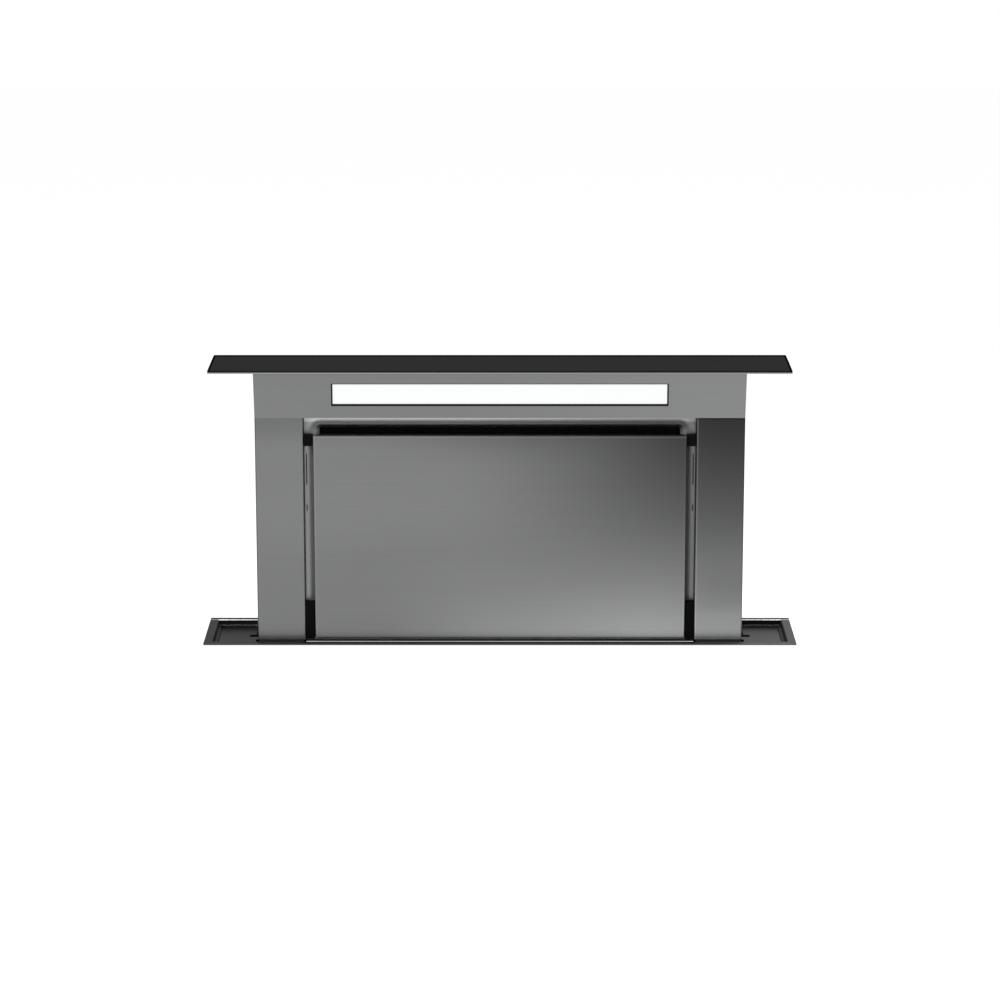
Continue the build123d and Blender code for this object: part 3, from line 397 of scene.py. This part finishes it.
def control_box_plastic():
    """The control box's moulded plastic, with the dark seam where its cover meets it."""
    finish = Finish("control_box_plastic", metallic=0.0, specular_ior_level=0.4)
    point, (_, y, _) = finish.place()
    seam_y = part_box("control_cover")[1][1]
    seam = y.rise(seam_y, -0.8, -0.5) * y.fall(seam_y, 0.5, 0.8)
    skin = finish.noise(point, 900.0)
    dull = finish.noise(point, 14.0)
    shade = (0.36 + 0.06 * dull + 0.04 * skin) * (1.0 - 0.85 * seam)
    finish.link("Base Color", finish.grey(shade, COOL_TINT))
    finish.link("Roughness", 0.44 + 0.14 * skin)
    finish.bump(skin, 0.25, 0.3 * MM)
    return finish.material


def tray_wall_seal():
    """The seal round the tray's wall: black along the back, and grey at the ends, where a reflection is
    painted.
    """
    finish = Finish("tray_wall_seal", specular_ior_level=0.0)
    point, (x, _, _) = finish.place()
    low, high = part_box("tray_seal")
    painted_reflection_at_ends = finish.larger(x.fall(low[0], 1.0, 2.0), x.rise(high[0], -2.0, -1.0))
    pores = finish.noise(point, 1500.0)
    finish.link("Base Color", finish.grey((0.010 + 0.045 * painted_reflection_at_ends) * (0.8 + 0.4 * pores)))
    finish.link("Roughness", 0.80 + 0.10 * pores)
    finish.bump(pores, 0.4, 0.3 * MM)
    return finish.material


def black_glass():
    """Back-painted black glass with a painted dark reflection along its edges, and a breath of smudging.

    The bands are in millimetres: along the back, along both ends, and down from the top face.
    """
    finish = Finish("black_glass", specular_ior_level=0.0, coat_roughness=0.08)
    point, (x, y, z) = finish.place()
    low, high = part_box("lid_glass")
    back_band, end_band, top_band, soft = 13.0, 3.6, 1.7, 0.4
    near_back = y.rise(high[1], -back_band - soft, -back_band)
    under_top = z.fall(high[2], -top_band - soft, -top_band)
    near_right = x.rise(high[0], -end_band - soft, -end_band)
    near_left = x.fall(low[0], end_band, end_band + soft)
    edge = finish.larger(finish.larger(near_back, under_top), finish.larger(near_left, near_right))
    smudge = finish.noise(finish.scaled(point, (3.0, 12.0, 12.0)), 1.0, detail=3.0)
    # Painted dark reflection along the edges: a darker colour and less coat.
    finish.link("Base Color", finish.grey((0.011 + 0.004 * smudge) * (1.0 - 0.75 * edge)))
    finish.link("Coat Weight", 0.04 * (1.0 - edge))
    finish.link("Roughness", 0.35 + 0.10 * smudge)
    return finish.material


def glowing_diffuser():
    """The frosted light strip, lit from behind."""
    finish = Finish("light_diffuser", metallic=0.0, roughness=0.6, emission_strength=1.0)
    point, _ = finish.place()
    frost = finish.noise(point, 700.0)
    finish.link("Base Color", finish.grey(0.05 + 0.02 * frost))
    finish.link("Emission Color", finish.grey(0.89 + 0.03 * frost, (0.985, 1.0, 0.99)))
    finish.bump(frost, 0.15, 0.1 * MM)
    return finish.material


# ---------------------------------------------------------------- every node's finish
slot_finish = {
    "stainless": brushed_front("stainless_front", pillar_painted_edge_lights),
    "stainless_tray": tray_steel(),
    "black_glass": black_glass(),
    "black_paint": satin_paint("black_powder_coat", (0.012, 0.012, 0.013)),
    "galvanised": galvanised("galvanised_sheet", 0.38),
    "zinc_steel": turned_metal("zinc_plated_steel", (0.48, 0.49, 0.50), 0.32),
    "aluminium": turned_metal("cast_aluminium", (0.55, 0.55, 0.56), 0.42),
    "filter_mesh": filter_mesh(),
    "black_plastic": grained_plastic("black_plastic", (0.006, 0.006, 0.006), shine=0.06),
    "grey_plastic": grained_plastic("grey_plastic", (0.36, 0.37, 0.38), 0.5),
    "white_plastic": grained_plastic("white_plastic", (0.72, 0.72, 0.70), 0.4),
    "light_diffuser": glowing_diffuser(),
    "white_board": grained_plastic("circuit_board", (0.70, 0.71, 0.69), 0.4),
    "black_rubber": grained_plastic("black_rubber", (0.006, 0.006, 0.006), 0.75, 500.0, shine=0.05),
    "black_seal": tray_wall_seal(),
    "bronze": turned_metal("sintered_bronze", (0.55, 0.38, 0.20), 0.45),
}

# Pieces that look different from the rest of their slot.
box_plastic = control_box_plastic()
scroll_sheet = galvanised("galvanised_scroll", 0.30)
casing_sheet = galvanised("galvanised_casing", 0.34)
own_finish = {
    "head_housing": brushed_head(),
    "back_panel": brushed_plain("stainless_back", 0.24),
    "lid_frame": brushed_plain("stainless_lid_edge", 0.25),
    "intake_frame": intake_steel(),
    "front_panel": brushed_front("stainless_panel", panel_painted_edge_lights),
    "filter_rails": satin_paint("duct_black", (0.005, 0.005, 0.005), 0.8),
    "panel_pins": satin_paint("blackened_steel", (0.004, 0.004, 0.004), 0.6),
    "pivot_blocks": grained_plastic("pivot_black", (0.002, 0.002, 0.002), shine=0.02),
    "panel_catches": grained_plastic("catch_black", (0.003, 0.003, 0.003), shine=0.03),
    "control_box": box_plastic,
    "control_cover": box_plastic,
    "scroll_wall": scroll_sheet,
    "scroll_front_plate": scroll_sheet,
    "scroll_back_plate": scroll_sheet,
    "casing_shell": casing_sheet,
    "casing_front": casing_sheet,
    "casing_bottom": casing_sheet,
}

slot_of = {entry["node"]: entry["material_slot"] for entry in frame["record"]["subparts"]}
for name, obj in nodes.items():
    for material_slot in obj.material_slots:
        material_slot.material = own_finish.get(name, slot_finish[slot_of[name]])


# ---------------------------------------------------------------- screw heads
def screw_heads(name, places, radius):
    """Zinc-plated socket screws on the casing, with their heads towards the front."""
    height = 0.8 * radius
    mesh = bmesh.new()
    for x, y, z in places:
        turned = Matrix.Translation((x, y - height / 2, z)) @ Matrix.Rotation(math.radians(90.0), 4, "X")
        head = bmesh.ops.create_cone(
            mesh,
            cap_ends=True,
            segments=20,
            radius1=radius,
            radius2=0.8 * radius,
            depth=height,
            matrix=turned,
        )
        faces = {face for vertex in head["verts"] for face in vertex.link_faces}
        front = min(faces, key=lambda face: face.calc_center_median().y)
        bmesh.ops.inset_region(mesh, faces=[front], thickness=0.35 * radius)
        bmesh.ops.translate(mesh, verts=list(front.verts), vec=(0.0, 0.6 * height, 0.0))
    data = bpy.data.meshes.new(name)
    mesh.to_mesh(data)
    mesh.free()
    data.materials.append(slot_finish["zinc_steel"])
    obj = bpy.data.objects.new(name, data)
    bpy.context.collection.objects.link(obj)
    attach(obj, "casing")


# One in each corner of the control box's cover.
cover_inset = 9.0 * MM
cover_low, cover_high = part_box("control_cover")
cover_places = [
    (x, cover_low[1], z)
    for x in (cover_low[0] + cover_inset, cover_high[0] - cover_inset)
    for z in (cover_low[2] + cover_inset, cover_high[2] - cover_inset)
]
screw_heads("cover_screws", cover_places, 3.5 * MM)

# Four round the blower's motor, on the scroll's front plate.
motor_low, motor_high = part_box("blower_motor")
motor_x, motor_z = (motor_low[0] + motor_high[0]) / 2, (motor_low[2] + motor_high[2]) / 2
bolt_circle = (motor_high[0] - motor_low[0]) / 2 + 9.0 * MM
plate_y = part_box("scroll_front_plate")[0][1]
motor_places = []
for quarter in range(4):
    turn = math.radians(45.0 + 90.0 * quarter)
    place = (motor_x + bolt_circle * math.cos(turn), plate_y, motor_z + bolt_circle * math.sin(turn))
    motor_places.append(place)
screw_heads("motor_screws", motor_places, 4.0 * MM)

# ---------------------------------------------------------------- camera
FOCAL_PX, PICTURE_PX = 3400.0, 1000.0       # the lens, and the picture's width
SENSOR_WIDTH = 36.0                         # millimetres, as Blender's lens is
CAMERA_PLACE = (0.0002, -4.9231, 1.3839)
LOOKS_DOWN = 13.481                         # degrees

camera_data = bpy.data.cameras.new("camera")
camera_data.lens = FOCAL_PX * SENSOR_WIDTH / PICTURE_PX
camera = bpy.data.objects.new("camera", camera_data)
camera.location = CAMERA_PLACE
camera.rotation_euler = (math.radians(90.0 - LOOKS_DOWN), 0.0, 0.0)
bpy.context.collection.objects.link(camera)
bpy.context.scene.camera = camera


# ---------------------------------------------------------------- floor, worktop card and world
def sheet_object(name, corners, material):
    """A flat staged sheet through its corners."""
    mesh = bpy.data.meshes.new(name)
    mesh.from_pydata([tuple(c) for c in corners], [], [tuple(range(len(corners)))])
    mesh.materials.append(material)
    obj = bpy.data.objects.new(name, mesh)
    bpy.context.collection.objects.link(obj)
    return obj


def seen(finish):
    """1 for the rays that see the background directly, in metal or through glass."""
    kinds = ("Is Camera Ray", "Is Glossy Ray", "Is Transmission Ray")
    direct, mirrored, through_glass = [finish.node("ShaderNodeLightPath", out=kind) for kind in kinds]
    return finish.larger(finish.larger(direct, mirrored), through_glass)


floor_finish = Finish(
    "floor", base_color=rgb(0.88, 0.88, 0.88), roughness=0.9, specular_ior_level=0.0, emission_strength=0.5
)
floor_finish.link("Emission Color", floor_finish.grey(seen(floor_finish)))
floor_reach = 12.0
# Just under the casing and its fixing feet. The round duct collar dips 4.5 mm into it.
floor_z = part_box("casing_shell")[0][2] - 0.5 * MM
floor_corners = [
    (x * floor_reach, y * floor_reach, floor_z) for x, y in ((-1, -1), (1, -1), (1, 1), (-1, 1))
]
sheet_object("floor", floor_corners, floor_finish.material)

# The worktop hides everything below the flange in the photograph. A small white card near the
# camera does the same here, so the casing shows in every other view.
card_finish = Finish(
    "worktop_card",
    base_color=rgb(0.0, 0.0, 0.0),
    roughness=1.0,
    specular_ior_level=0.0,
    emission_color=rgb(1.0, 1.0, 1.0),
    emission_strength=1.0,
)
hidden_half_width, hidden_depth = 0.7, 1.4  # at the flange's front edge
card_share = 0.1                            # of the way from the camera to that edge
flange_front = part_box("flange_tray")[0][1]
card_corners = []
for side, depth in ((-1, 0.0), (1, 0.0), (1, hidden_depth), (-1, hidden_depth)):
    hidden_corner = Vector((side * hidden_half_width, flange_front, -depth))
    card_corners.append(camera.location.lerp(hidden_corner, card_share))
card = sheet_object("worktop_card", card_corners, card_finish.material)
card.visible_shadow = False
card.visible_diffuse = False
card.visible_glossy = False


class Studio(Finish):
    """The world's nodes, built with the same calls."""

    def __init__(self, world):
        self.tree = world.node_tree
        self.shader = self.tree.nodes["Background"]


world = bpy.data.worlds.new("studio")
world.use_nodes = True
bpy.context.scene.world = world
studio = Studio(world)
studio.link("Color", studio.grey(0.55 + 0.45 * seen(studio)))


# ---------------------------------------------------------------- lamps
def softbox(name, location, aim, size, watts):
    """A square area lamp pointed at a place."""
    data = bpy.data.lights.new(name, "AREA")
    data.shape, data.size, data.energy = "SQUARE", size, watts
    obj = bpy.data.objects.new(name, data)
    obj.location = location
    obj.rotation_euler = (Vector(aim) - Vector(location)).to_track_quat("-Z", "Y").to_euler()
    bpy.context.collection.objects.link(obj)


softbox("key_light", (-1.8, -2.6, 2.6), (0.0, 0.0, 0.2), 1.6, 55.0)
softbox("rear_light", (1.6, 2.4, 1.8), (0.0, 0.0, 0.0), 1.6, 30.0)
softbox("top_light", (0.0, -0.6, 3.0), (0.0, 0.0, 0.2), 1.2, 20.0)

bpy.context.scene.view_settings.view_transform = "Standard"
